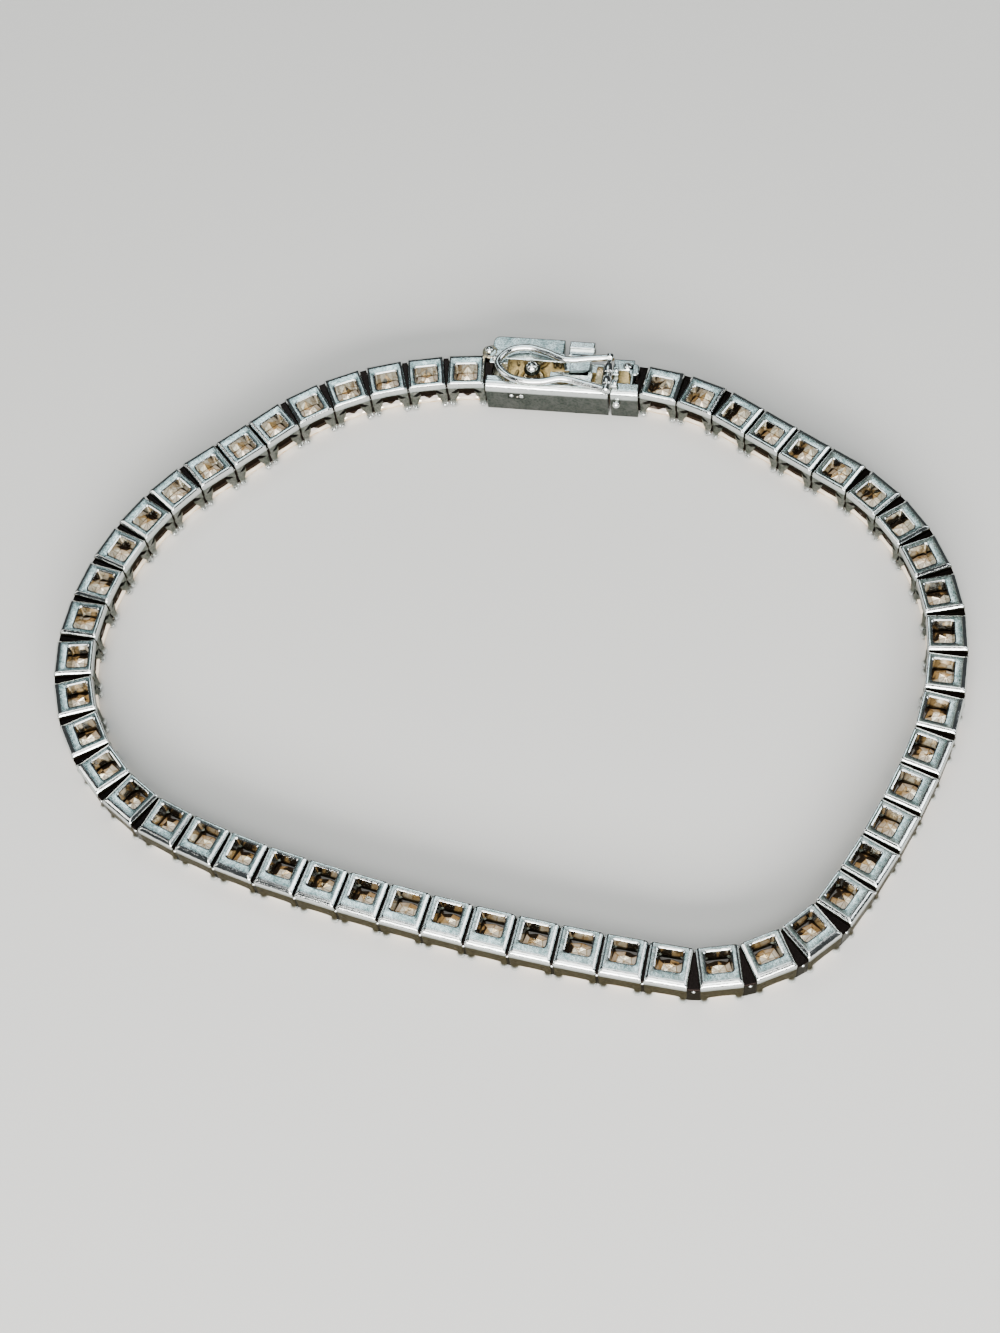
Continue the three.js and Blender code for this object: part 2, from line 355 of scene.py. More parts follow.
def plate(outline, z0, z1, bevel=0.06, **marks):
    """A flat plate with a rounded edge, over an anticlockwise outline."""
    way = unit(np.roll(outline, -1, 0) - np.roll(outline, 1, 0))
    inwards = np.stack([-way[:, 1], way[:, 0]], 1)
    insets, heights = rounded_edges(z0, z1, bevel, bevel * 1.3)
    flat = outline + inwards * insets[:, None, None]
    return lofted(together(flat[..., 0], flat[..., 1], heights[:, None]), **marks)


def paint_shade_on(skin, where, patina, tone):
    """Paints shade on the points that where picks, in the two given shares, and takes their polish off."""
    chosen = where(*skin.points.T)
    for mark, value in (("patina", patina), ("tone", tone), ("wear", 0.0)):
        skin.marks[mark][chosen] = value
    return skin


def turned(profile, **marks):
    """Columns radius and height turned about Z."""
    radius, height = np.asarray(profile, float).T[:, :, None]
    a = np.radians(np.arange(0, 360, 18))
    return lofted(together(radius * np.cos(a), radius * np.sin(a), height), **marks)


def ball(x, y, z, radius, **marks):
    """A half circle turned about Z."""
    a = np.radians(np.linspace(-80, 80, 9))
    return turned(np.stack([radius * np.cos(a), radius * np.sin(a)], 1), **marks).moved(x, y, z)


def tube(path, radii, sides=12, round_again=False, **marks):
    """A circle carried along a path.  Each ring stands square to the path: one of its axes is the
    path's direction crossed with Z, or with X where the path is upright."""
    path = np.asarray(path, float)
    if round_again:
        way = np.roll(path, -1, 0) - np.roll(path, 1, 0)
    else:
        way = np.gradient(path, axis=0)
    way = unit(way)
    upright = np.abs(way[:, 2]).mean() > 0.9
    side = unit(np.cross(way, (1.0, 0, 0) if upright else (0, 0, 1.0)))
    up = np.cross(side, way)
    a = np.radians(np.arange(sides) * 360 / sides)[None, :, None]
    radii = np.broadcast_to(np.asarray(radii, float), (len(path),))[:, None, None]
    rings = path[:, None] + radii * (np.cos(a) * side[:, None] - np.sin(a) * up[:, None])
    return lofted(rings[:, ::-1], round_again, **marks)


def rod(start, end, radius, sides=12, **marks):
    """A straight round bar with half-round ends."""
    start, end = np.asarray(start, float), np.asarray(end, float)
    size = np.linalg.norm(end - start)
    a = np.radians([8, 35, 65, 90])
    along = np.concatenate([radius * (1 - np.cos(a)), size - radius * (1 - np.cos(a[::-1]))])
    shrink = radius * np.concatenate([np.sin(a), np.sin(a[::-1])])
    path = start + (end - start) / size * along[:, None]
    return tube(path, shrink, sides, **marks)


def ring_of_wire(x, y, z, radius, wire, **marks):
    """A round wire bent to a closed ring about an upright axis."""
    a = np.radians(np.arange(0, 360, 15))
    circle = np.stack([np.cos(a), np.sin(a), 0 * a], 1) * radius
    return tube(circle, wire, 10, True, **marks).moved(x, y, z)


def curve_through(points, steps):
    """A centripetal Catmull-Rom curve: each stretch between two points is blended from four
    points whose spacing is the square root of their distance."""
    points = np.asarray(points, float)
    points = np.concatenate([2 * points[:1] - points[1:2], points, 2 * points[-1:] - points[-2:-1]])
    knots = np.concatenate([[0], np.cumsum(np.linalg.norm(np.diff(points, axis=0), axis=1) ** 0.5)])
    p = [points[i : len(points) - 3 + i, None] for i in range(4)]
    t = [knots[i : len(points) - 3 + i, None, None] for i in range(4)]
    u = t[1] + (t[2] - t[1]) * np.linspace(0, 1, steps, endpoint=False)[None, :, None]

    def mix(a, b, ta, tb):
        return ((tb - u) * a + (u - ta) * b) / (tb - ta)

    a1, a2, a3 = (mix(p[i], p[i + 1], t[i], t[i + 1]) for i in range(3))
    b1, b2 = mix(a1, a2, t[0], t[2]), mix(a2, a3, t[1], t[3])
    inner = mix(b1, b2, t[1], t[2]).reshape(-1, points.shape[1])
    return np.concatenate([inner, points[-2:-1]])


def clasp_place():
    """Where the clasp's own origin lies in the frame, in millimetres."""
    return np.array([BOX_LOW.x / MM - RIVET_EDGE, BOX_HIGH.y / MM - WING_EDGE, 0.0])


def links_and_joints():
    """Walks the stretches round the loop and gives centres and headings of links and of joints.
    Half a joint's gap goes on the old heading and half on the new one, then comes a link.  What
    is left over at the tongue is shared out along the joints."""
    sizes = bpy.context.scene.bracelet_settings
    link, straight_gap, slack = in_mm(sizes, "link_length joint_gap joint_slack")
    turn = np.radians(np.repeat([t for _, t in STRETCHES], [n for n, _ in STRETCHES]))
    heading = np.concatenate([[np.pi], np.pi + np.cumsum(turn)])
    way = np.stack([np.cos(heading), np.sin(heading)], 1)
    gap = straight_gap + slack * np.abs(np.tan(turn))
    before = np.concatenate([[0], gap]) / 2
    after = np.concatenate([gap, [0]]) / 2
    body = np.zeros(len(heading))
    body[1:-1] = link
    seams = np.array([BOX_END, 0.0]) + np.cumsum(way * (before + body + after)[:, None], 0)
    left = np.array([TONGUE_END, 0.0]) - seams[-1]
    count = len(turn)
    number = np.arange(count)[:, None]
    centres = seams[1:-1] - way[1:-1] * (after[1:-1] + link / 2)[:, None]
    centres += left * (number[:-1] + 0.5) / count
    joints = seams[:-1] + left * number / count
    at = clasp_place()[:2]
    return centres + at, heading[1:-1], joints + at, heading[:-1] + turn / 2


def copies(skin, places, headings, first=0):
    """The skin turned to each heading and set at each place, all at once.  first is the number of
    the first copy, which its grain is shifted by."""
    c, s = np.cos(headings)[:, None], np.sin(headings)[:, None]
    x, y, z = skin.points.T
    count = len(places)
    points = together(c * x - s * y + places[:, :1], s * x + c * y + places[:, 1:2], z)
    shift = np.arange(count) * len(x)
    faces = np.where(skin.faces < 0, -1, skin.faces + shift[:, None, None]).reshape(-1, 4)
    grain = np.broadcast_to(skin.grain, (count, *skin.grain.shape)).copy()
    grain[:, :, 0] += (np.arange(count)[:, None] + first) * GRAIN_STEP
    many = Skin(points.reshape(-1, 3), faces, grain=grain.reshape(-1, 3))
    many.marks = {k: np.tile(v, count) for k, v in skin.marks.items()}
    return many


def make_piece(name, skin, material, body, replaces=(), sharp=40.0):
    """Puts a skin into a mesh in metres, with its marks and grain as attributes, and lets it ride
    on its body.  Marks on corners come first, and hide the point marks of the same name."""
    mesh = bpy.data.meshes.new(name)
    used = skin.faces >= 0
    totals = used.sum(1)
    corners = skin.faces[used]
    mesh.vertices.add(len(skin.points))
    mesh.loops.add(len(corners))
    mesh.polygons.add(len(totals))
    mesh.vertices.foreach_set("co", (skin.points * MM).astype(np.float32).ravel())
    mesh.loops.foreach_set("vertex_index", corners.astype(np.int32))
    starts = np.concatenate([[0], np.cumsum(totals)[:-1]])
    mesh.polygons.foreach_set("loop_start", starts.astype(np.int32))
    mesh.update(calc_edges=True)
    if mesh.validate():
        raise RuntimeError(f"{name} has a face that isn't valid")
    for domain, marks in (("CORNER", skin.corner_marks), ("POINT", skin.marks)):
        for mark, values in marks.items():
            if mark not in mesh.attributes:
                made = mesh.attributes.new(mark, "FLOAT", domain)
                made.data.foreach_set("value", values.astype(np.float32))
    grain = mesh.attributes.new("grain", "FLOAT_VECTOR", "POINT")
    grain.data.foreach_set("vector", skin.grain.astype(np.float32).ravel())
    mesh.shade_smooth()
    mesh.set_sharp_from_angle(angle=math.radians(sharp))
    mesh.materials.append(material)
    piece = bpy.data.objects.new(name, mesh)
    bpy.context.scene.collection.objects.link(piece)
    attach(piece, body)
    if replaces:
        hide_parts(*replaces)


# ---- settings ----
def band_skin(sizes):
    """The upper half of a setting: a closed profile carried round a rounded square.  It goes up
    the outer wall, over the shoulder (a quarter ellipse on the long sides, a bevel on the ends),
    across the plate, down the bright cut and the window's wall to a skirt that follows the stone,
    and back along the underside.  The lower edge is arched between the prongs, more so on the inside of
    the loop, and the outer wall comes down further as an apron.  The lower walls, the window's
    foot and the ends carry a painted olive shade with some dirt, and the underside a near-black
    painted shade."""
    long, wide, top, band = in_mm(sizes, "link_length link_width link_height band_height")
    window_long, window_wide, offset = in_mm(sizes, "window_length window_width window_offset")
    outer, ease, end_bevel, cut = in_mm(sizes, "shoulder inner_shoulder end_bevel window_bevel")
    arch, opening, apron = in_mm(sizes, "arch opening apron")
    half_x, half_y, low = long / 2, wide / 2, top - band
    win_x, win_low, win_high = window_long / 2, offset - window_wide / 2, offset + window_wide / 2
    painted_shade_below = 2.24
    skirt_up, skirt_down = 0.2, 0.35
    a = np.radians(np.linspace(0, 90, 6))
    outer_in, outer_z = outer * (1 - np.cos(a)), top - outer * 0.9 * (1 - np.sin(a))
    up_the_ease = ((outer_z - top + ease) / ease).clip(0, 1)
    inner_in = ease * (1 - np.sqrt(1 - up_the_ease**2))
    rise = end_bevel * 0.75
    end_in = np.clip((outer_z - (top - rise)) / rise, 0, 1) * end_bevel

    def outer_row(z, *shares):
        return (half_x, -half_y, half_y, 0.1, z, *shares)

    def window_row(out, corner, z, *shares):
        return (win_x + out, win_low - out, win_high + out, corner, z, *shares)

    # Columns: half_x, lowest y, highest y, corner radius, z, share of the arch, wear, share of patina and
    # painted shade.
    wall = [
        # The outer wall up to 2.24 mm carries a painted olive shade, standing for the dark it reflects, with
        # some dirt; the rail above it is polished.
        outer_row(low, 1.0, 0.4, 1.0),
        outer_row(low + 0.05, 0.9, 0.0, 1.0),
        outer_row(painted_shade_below, 0.1, 0.0, 1.0),
        outer_row(painted_shade_below + 0.12, 0.0, 0.5, 0.0),
        outer_row(outer_z[0] - 0.05, 0.0, 0.8, 0.0),
    ]
    shoulder = [
        (half_x - e, o - half_y, half_y - i, 0.1, z, 0.0, 1.0, 0.0)
        for e, o, i, z in zip(end_in, outer_in, inner_in, outer_z)
    ]
    inner = [
        (half_x - end_bevel - 0.03, outer + 0.03 - half_y, half_y - ease - 0.02, 0.1, top, 0.0, 0.0, 0.0),
        window_row(cut + 0.03, 0.22, top, 0.0, 0.0, 0.0),
        window_row(cut, 0.2, top - 0.01, 0.0, 1.0, 0.0),
        window_row(0.0, 0.18, top - cut, 0.0, 1.0, 0.0),
        window_row(0.0, 0.18, top - cut - 0.05, 0.0, 1.0, 0.0),
        window_row(-0.01, 0.18, low + 0.26, 0.0, 0.8, 0.0),
        window_row(-0.02, 0.18, low + 0.14, 0.0, 0.0, 0.9),
        window_row(-0.02, 0.18, low, 0.0, 0.0, 1.0),
        window_row(0.06, 0.2, low, 0.0, 0.0, 1.0),
        window_row(0.08, 0.2, low + 0.2, 0.0, 0.0, 1.0),
        (half_x - 0.04, 0.04 - half_y, half_y - 0.04, 0.08, low, 1.0, 0.0, 1.0),
    ]
    table = np.array(wall + shoulder + inner)
    flats = (-0.96, -0.5, 0.0, 0.5, 0.96)
    rings = ring_stack(table[:, :5], flats, 4)
    px, py, _, _ = corner_outline(flats, 4)
    rings[..., 2] += arch * ((1 - px**2) + (1 - py**2)) * table[:, 5:6]
    inside, outside = py > 0.97, py < -0.97
    between_prongs = np.clip(2.4 * (1 - px**2), 0, 1)
    lower_edge, skirt = [0, 1, -1], slice(-4, -2)
    rings[lower_edge, :, 2] += opening * between_prongs * inside - apron * outside
    rings[skirt, :, 2] += skirt_up * np.maximum(-py, 0) - skirt_down * np.maximum(py, 0)
    # The underside rows take the near-black painted shade of the joint colour.
    shaded_underneath = np.zeros(len(table))
    shaded_underneath[-3:] = 1.0
    marks = {"wear": table[:, 6], "patina": table[:, 7], "tone": shaded_underneath}
    skin = lofted(rings, True, **{k: np.repeat(column, len(px)) for k, column in marks.items()})
    x, y, z = skin.points.T
    # Less painted shade on the inside of the loop.
    skin.marks["patina"][y > half_y - 0.03] *= 0.7
    # The end walls below the bevel, seen down the gaps between links, take full painted shade and lose their
    # polish.
    shaded_end_wall = (np.abs(x) > half_x - 0.03) & (z < top - rise - 0.02) & (np.abs(y) < half_y - 0.06)
    skin.marks["patina"][shaded_end_wall] = 1.0
    skin.marks["wear"][shaded_end_wall] = 0.0
    return skin


def prong_skin(sizes, side_x, side_y):
    """A post with a ball at its foot: half widths, place and flare follow the height, and the post
    broadens along the link as it joins the band."""
    long, wide, width, flare = in_mm(sizes, "link_length link_width prong_width prong_flare")
    half = width / 2
    inset = 0.02
    # Columns: height, share of the half width across, the same along the link, share of the flare.
    rows = np.array(
        [
            (0.02, 0.3, 0.3, 1.0),
            (0.08, 0.7, 0.7, 1.0),
            (0.17, 0.95, 0.95, 1.0),
            (0.28, 1.06, 1.06, 1.0),
            (0.4, 0.94, 0.94, 0.95),
            (0.5, 0.66, 0.72, 0.85),
            (0.75, 0.66, 0.9, 0.6),
            (1.2, 0.8, 1.35, 0.2),
            (1.7, 1.0, 1.5, 0.0),
        ]
    )
    z, across, along, out = rows.T[:, :, None]
    a = np.radians(np.arange(22.5, 360, 45))
    square = 1.08 / np.maximum(np.abs(np.cos(a)), np.abs(np.sin(a))) ** 0.5
    middle_x = side_x * (long / 2 - inset - half * np.maximum(along, 1.0))
    middle_y = side_y * (wide / 2 - half + flare * out)
    x = middle_x + half * along * square * np.cos(a)
    y = middle_y + half * across * square * np.sin(a)
    skin = lofted(together(x, y, z))
    height = skin.points[:, 2]
    stem_shade_share = 0.75 if side_y > 0 else 1.0
    # Painted olive shade on the stem, less of it on the inside of the loop, and a painted contact shadow at
    # the foot of the ball; the ball's upper side is polished.
    skin.marks["wear"] = np.clip((0.58 - height) / 0.12, 0, 1)
    skin.marks["patina"] = np.clip((height - 0.42) / 0.1, 0, 1) * stem_shade_share
    skin.marks["patina"][height < 0.1] = 1.0
    return skin


def joint_skin(sizes):
    """The hinge block between two settings, with the ends of its cross pin at the sides.
    The block is near-black brown all over, a painted shade, and reaches down to 0.45 mm so that
    the gaps between links show that shade instead of the floor.
    """
    pin_height = 2.2
    block = slab(-0.5, 0.5, -1.36, 1.28, 0.45, 2.5, 0.12, 0.08, tone=1.0)
    pin = rod((0, -1.45, pin_height), (0, 1.3, pin_height), sizes.pin_radius / MM, 8, wear=1.0)
    return merged([block, pin])


def runs():
    """For each run its number, its first link and the link after its last."""
    after = np.cumsum(RUN_LINKS).tolist()
    return zip(range(1, len(after) + 1), [0, *after], after)


class BRACELET_OT_settings(bpy.types.Operator):
    """Makes the square settings, their prongs and the joints between them, one piece for each run"""

    bl_idname = "bracelet.settings"
    bl_label = "Make Settings"

    def execute(self, context):
        sizes = context.scene.bracelet_settings
        centres, headings, joints, joint_headings = links_and_joints()
        if len(centres) != sum(RUN_LINKS):
            raise RuntimeError("the stretches and the runs don't have the same number of links")
        prongs = [prong_skin(sizes, x, y) for x in (-1, 1) for y in (-1, 1)]
        setting = merged([band_skin(sizes), *prongs])
        joint = joint_skin(sizes)
        finish = context.scene.bracelet_finish
        # The joint colour is the settings' near-black painted shade, on the hinge blocks and on the band's
        # underside.
        metal = white_metal("polished_settings", finish, 1.0, finish.joint)
        for number, first, end in runs():
            is_last = number == len(RUN_LINKS)
            settings = copies(setting, centres[first:end], headings[first:end], first)
            bars = slice(first, end + is_last)
            blocks = copies(joint, joints[bars], joint_headings[bars], first)
            many = merged([settings, blocks])
            run_node = f"link_run_{number}"
            make_piece(f"settings_{number}", many, metal, "bracelet", [run_node])
        return {"FINISHED"}


# ---- stones ----
def stone_skin(sizes):
    """A square stone with its front down: rings of eight points, four corners and four middles,
    at the front facet, the crown, the girdle, and three more on the way to the point at the back."""
    side, table_side, low, girdle, culet = in_mm(sizes, "side table table_height girdle culet")
    half, table = side / 2, table_side / 2
    rise = culet - girdle
    # Columns: half width at a corner, half width at a middle, height.
    rows = np.array(
        [
            (table, table, low),
            (half * 0.9, half * 0.86, low + (girdle - low) * 0.6),
            (half, half, girdle - 0.06),
            (half, half, girdle + 0.06),
            (half * 0.87, half * 0.91, girdle + 0.3),
            (half * 0.6, half * 0.72, girdle + rise * 0.5),
            (half * 0.34, half * 0.4, girdle + rise * 0.76),
        ]
    )
    corner, middle, z = rows.T[:, :, None]
    x = np.array([1, 1, 0, -1, -1, -1, 0, 1.0])
    y = np.array([0, 1, 1, 1, 0, -1, -1, -1.0])
    is_corner = np.abs(x) + np.abs(y) > 1.5
    wide = np.where(is_corner, corner, middle)
    skin = lofted(together(wide * x, wide * y, z))
    skin.points[-1] = (0, 0, culet)
    return skin


def faceted(skin, random):
    """Divides every facet at its middle and marks its corners with painted light and shade: a light
    level, bright on the crown and the girdle's edge and varied on the way to the point, a painted
    shade on the ring above the girdle, and a painted outline that falls from 1 at the facet's border
    to 0 at its middle."""
    used = skin.faces >= 0
    corners = np.where(used, skin.faces, skin.faces[:, :1])
    share_of = (used / used.sum(1, keepdims=True))[..., None]
    middle = (skin.points[corners] * share_of).sum(1)
    grain = (skin.grain[corners] * share_of).sum(1)
    a, b, c = (skin.points[corners[:, i]] for i in range(3))
    normal = unit(np.cross(b - a, c - a))
    count = len(corners)
    ahead = np.roll(corners, -1, 1)
    own = np.broadcast_to((len(skin.points) + np.arange(count))[:, None], corners.shape)
    faces = np.stack([corners, ahead, own, np.full(corners.shape, -1)], -1)
    real = corners != ahead
    points = np.concatenate([skin.points, middle])
    split = Skin(points, faces[real], grain=np.concatenate([skin.grain, grain]))
    height, upward = middle[:, 2], normal[:, 2]
    deep_below, edge_below = 1.3, 0.85
    light_way = (0.4, -0.8, 0.1)
    lit = normal @ light_way
    near_point = np.clip((height - deep_below) / 0.3, 0, 1)
    # Painted light and shade: facets that face light_way are lighter, those near the point lighter still,
    # with a random spread.
    tone = 0.28 + 0.34 * near_point + (0.25 + 0.3 * near_point) * lit + random.uniform(-0.2, 0.2, count)
    # Painted highlight on the crown and on the facets below 0.85 mm, and a painted golden-brown line along
    # the girdle.
    edge = (upward < 0.2) | (height < edge_below)
    tone = np.where(edge, 0.85 + 0.15 * tone, tone)
    tone = np.where(np.abs(upward) < 0.2, 0.42, tone)
    # Painted shade on the facets between 0.85 and 1.3 mm high.
    deep_shade = np.clip((deep_below - height) / 0.15, 0, 1) * ~edge
    facet = np.broadcast_to(np.arange(count)[:, None], corners.shape)[real]
    split.corner_marks = {
        "tone": np.repeat(tone[facet], 3),
        "patina": np.repeat(deep_shade[facet], 3),
        "painted_outline": np.tile([1.0, 1.0, 0.0], len(facet)) * ~edge[np.repeat(facet, 3)],
    }
    return split


class BRACELET_OT_stones(bpy.types.Operator):
    """Makes the square stones, one piece for each run of settings"""

    bl_idname = "bracelet.stones"
    bl_label = "Make Stones"

    def execute(self, context):
        stone = stone_skin(context.scene.bracelet_stones)
        centres, headings, _, _ = links_and_joints()
        material = stone_material("square_stones", context.scene.bracelet_finish)
        random = np.random.default_rng(7)
        for number, first, end in runs():
            many = faceted(copies(stone, centres[first:end], headings[first:end], first), random)
            make_piece(f"stones_{number}", many, material, "bracelet", sharp=1.0)
        return {"FINISHED"}


# ---- clasp ----
# The numbers of a slab or rail are where it begins and ends in x, y and z, then the radii of its
# corners and its bevel.  Those of a ball or ring are its middle and its radius.
INNER_RADII = (0.1, 0.05, 0.12, 0.45)
INNER_STOPS = (2.3, 2.12)


def low_inner_side(x, y, z):
    """The part of the box and of the tongue that faces the inside of the loop, below the shoulder; it gets a
    painted near-black green-grey shade.
    """
    return (y < SIDE + 0.05) & (z < 2.2)


def clasp_metal(name, haze, solder=False):
    finish = bpy.context.scene.bracelet_finish
    # The hollow colour is the clasp's near-black painted shade.
    return white_metal(name, finish, haze, finish.hollow, solder)


def barrel(x, y0, y1, z, radius):
    """A hollow knuckle along Y: a closed profile turned about its axis, bulged like a bead."""
    y = np.array([y0, y0 + 0.08, (y0 + y1) / 2, y1 - 0.08, y1, y1, y0])
    r = np.array([*(radius * np.array([0.86, 0.97, 1.0, 0.97, 0.86])), HINGE_BORE, HINGE_BORE])
    a = np.radians(np.arange(0, 360, 18))[None]
    rings = together(x + r[:, None] * np.sin(a), y[:, None], z + r[:, None] * np.cos(a))
    return lofted(rings, True, wear=1.0)


def knuckle(y0, y1):
    """A hinge barrel, the web and the foot that hold it to the end block, and a bead of solder."""
    return [
        barrel(HINGE_X, y0, y1, HINGE_Z, KNUCKLE_RADIUS),
        slab(5.3, 5.8, y0 + 0.04, y1 - 0.04, HINGE_Z - 0.34, HINGE_Z - 0.05, 0.05, 0.05, wear=0.6),
        slab(5.42, 5.8, y0 + 0.02, y1 - 0.02, 2.7, HINGE_Z - 0.08, 0.05, 0.05, wear=0.4),
        ball(5.62, (y0 + y1) / 2, HINGE_Z - 0.1, 0.2, wear=1.0),
    ]


class BRACELET_OT_clasp_box(bpy.types.Operator):
    """Makes the clasp's open-backed box with its wing, its catch post and its rivet"""

    bl_idname = "bracelet.clasp_box"
    bl_label = "Make Clasp Box"

    def execute(self, context):
        inner_wall = rail(BOX_END, 5.1, SIDE, -1.0, 0, TOP, INNER_RADII, stops=INNER_STOPS, wear=0.9)
        wing = eased([(-4.3, 1.5), (1.3, 1.5), (1.3, WING_EDGE), (-4.3, WING_EDGE)], (0.5, 0.08, 0.1, 0.6))
        post = turned([(0.42, 0), (0.42, 0.12), (0.32, 0.22), (0.29, 0.4), (0.3, 1.5)], patina=0.6)
        shell = [
            paint_shade_on(inner_wall, low_inner_side, 0.1, 0.82),
            rail(BOX_END, 1.45, 1.0, 1.85, 0, TOP, (0.05, 0.1, 0.08, 0.1), wear=0.4),
            rail(1.3, 5.1, 1.0, 1.85, 0, 1.88, (0.05, 0.1, 0.08, 0.05), wear=0.3),
            slab(-3.2, 5.05, -1.1, 1.1, 0.02, 1.8, 0.05, 0.04, patina=0.95),
        ]
        end_with_notch = [
            slab(-4.38, -2.9, 0.6, 1.1, 0.02, 2.9, 0.05, 0.06, wear=0.4),
            slab(-4.38, -2.9, -1.1, -0.6, 0.02, 2.9, 0.05, 0.06, wear=0.4),
            slab(-3.5, -2.9, -0.7, 0.7, 0.02, 2.6, 0.1, 0.08, patina=0.7),
            # The notch floor is partly mixed with painted shade.
            slab(-4.36, -3.3, -0.7, 0.7, 0.02, 1.44, 0.05, 0.04, patina=0.5, tone=0.4),
        ]
        post_with_rings = [
            post.moved(POST_X, 0, 1.75),
            ball(POST_X, 0, 3.35, 0.5, wear=1.0),
            ring_of_wire(POST_X, 0, 1.98, 0.66, 0.17, patina=0.8, wear=0.6),
            # A near-black wire ring round the ball: a painted dark reflection at the ball's edge.
            ring_of_wire(POST_X, 0, 3.2, 0.55, 0.1, tone=1.0),
            ring_of_wire(POST_X, 0, RECESS_FLOOR, 0.98, 0.12, patina=1.0),
        ]
        ridges = [
            # The ridges are partly mixed with painted shade.
            rod((0.1, -0.75, RECESS_FLOOR), (0.7, 0.8, RECESS_FLOOR), 0.11, patina=0.9, tone=0.3),
            rod((0.5, -0.75, RECESS_FLOOR), (1.1, 0.8, RECESS_FLOOR), 0.11, patina=0.9),
            rod((-2.5, -0.75, RECESS_FLOOR), (-2.2, 0.8, RECESS_FLOOR), 0.13, patina=0.9, tone=0.2),
        ]
        rivet_and_solder = [
            ball(-4.5, 1.75, 2.85, 0.38, wear=1.0),
            ring_of_wire(-4.42, 1.6, 2.85, 0.5, 0.12, patina=0.6, wear=0.3),
            ball(-3.95, 0.95, 3.0, 0.24, wear=1.0),
            ball(-3.5, 0.5, 2.9, 0.22, wear=1.0),
        ]
        # The slot's back is near-black painted shade, with two polished beads in it.
        side_slot = [
            slab(-2.75, -1.35, -1.665, -1.5, 1.45, 2.15, 0.1, 0.03, tone=0.95),
            ball(-2.4, -1.56, 1.82, 0.2, wear=1.0),
            ball(-1.95, -1.56, 1.7, 0.14, wear=1.0, patina=0.5),
            slab(-1.8, -1.45, -1.69, -1.5, 1.62, 2.0, 0.08, 0.03, wear=1.0),
        ]
        near_recess = [plate(wing, 1.95, 2.85, 0.08), *post_with_rings, *ridges]
        skins = [*shell, *end_with_notch, *near_recess, *rivet_and_solder, *side_slot]
        metal = clasp_metal("polished_clasp", 0.9, solder=True)
        skin = merged(skins).moved(*clasp_place())
        make_piece("clasp_box_shell", skin, metal, "bracelet", ["clasp_box"])
        return {"FINISHED"}


class BRACELET_OT_clasp_tongue(bpy.types.Operator):
    """Makes the clasp's end block with its spring leaf, thumb tab and hinge knuckles"""

    bl_idname = "bracelet.clasp_tongue"
    bl_label = "Make Clasp Tongue"

    def execute(self, context):
        inner_wall = rail(5.3, TONGUE_END, SIDE, -0.55, 0, TOP, INNER_RADII, stops=INNER_STOPS, wear=0.6)
        # Columns: x, y of a corner of the spring leaf, radius of the corner.
        leaf_corners = np.array(
            [
                (0.4, -0.3, 0.12),
                (2.9, -0.4, 0.3),
                (3.4, -0.62, 0.2),
                (3.72, -0.6, 0.3),
                (3.72, 0.66, 0.3),
                (3.4, 0.68, 0.2),
                (2.9, 0.46, 0.3),
                (0.4, 0.34, 0.12),
            ]
        )
        leaf = eased(leaf_corners[:, :2], leaf_corners[:, 2])
        end_block = [
            paint_shade_on(inner_wall, low_inner_side, 0.1, 0.82),
            rail(5.3, 6.9, 0.6, 1.65, 0, TOP, (0.05, 0.1, 0.12, 0.08), wear=0.4),
            slab(6.5, 7.3, 0.2, 1.3, 0.02, TOP, 0.35, 0.1, wear=0.5),
            slab(5.3, 5.8, -0.8, 0.8, 0.02, TOP, 0.05, 0.08, patina=0.35, wear=0.3),
            slab(6.7, 7.3, -0.8, 0.8, 0.02, 1.45, 0.05, 0.05, patina=0.4),
            slab(5.7, 6.8, -0.65, 0.7, 0.02, 2.1, 0.05, 0.05, patina=0.9),
            slab(6.7, 6.95, -0.8, 0.8, 1.3, TOP, 0.05, 0.08, wear=0.5),
            ball(6.35, 1.0, 2.72, 0.42, wear=1.0),
            ball(5.75, -1.75, 1.75, 0.32, wear=1.0),
        ]
        thumb_tab = [
            slab(1.85, 3.45, 0.1, 2.2, 2.15, 2.55, 0.06, 0.05, wear=0.3),
            slab(1.65, 3.65, 1.95, 3.0, 1.9, 2.55, 0.06, 0.08, wear=0.8),
            slab(1.65, 3.65, 2.5, WING_EDGE, 1.9, 2.8, 0.08, 0.1, wear=1.0),
        ]
        tongue = [
            plate(leaf, 2.17, 2.55, 0.07, wear=0.5),
            # The bar under the leaf is solder-coloured and half mixed with painted shade.
            slab(2.6, 5.6, -0.62, 0.66, 1.85, 2.16, 0.05, 0.05, patina=1.0, tone=0.5),
            slab(4.0, 4.55, -0.95, 0.98, 1.9, 2.75, 0.05, 0.06, patina=0.75, wear=0.2),
        ]
        skins = [*end_block, *thumb_tab, *tongue]
        for y0, y1 in KNUCKLES:
            skins.extend(knuckle(y0, y1))
        metal = clasp_metal("polished_tongue", 0.9, solder=True)
        skin = merged(skins).moved(*clasp_place())
        make_piece("clasp_tongue_block", skin, metal, "bracelet", ["clasp_tongue"])
        return {"FINISHED"}


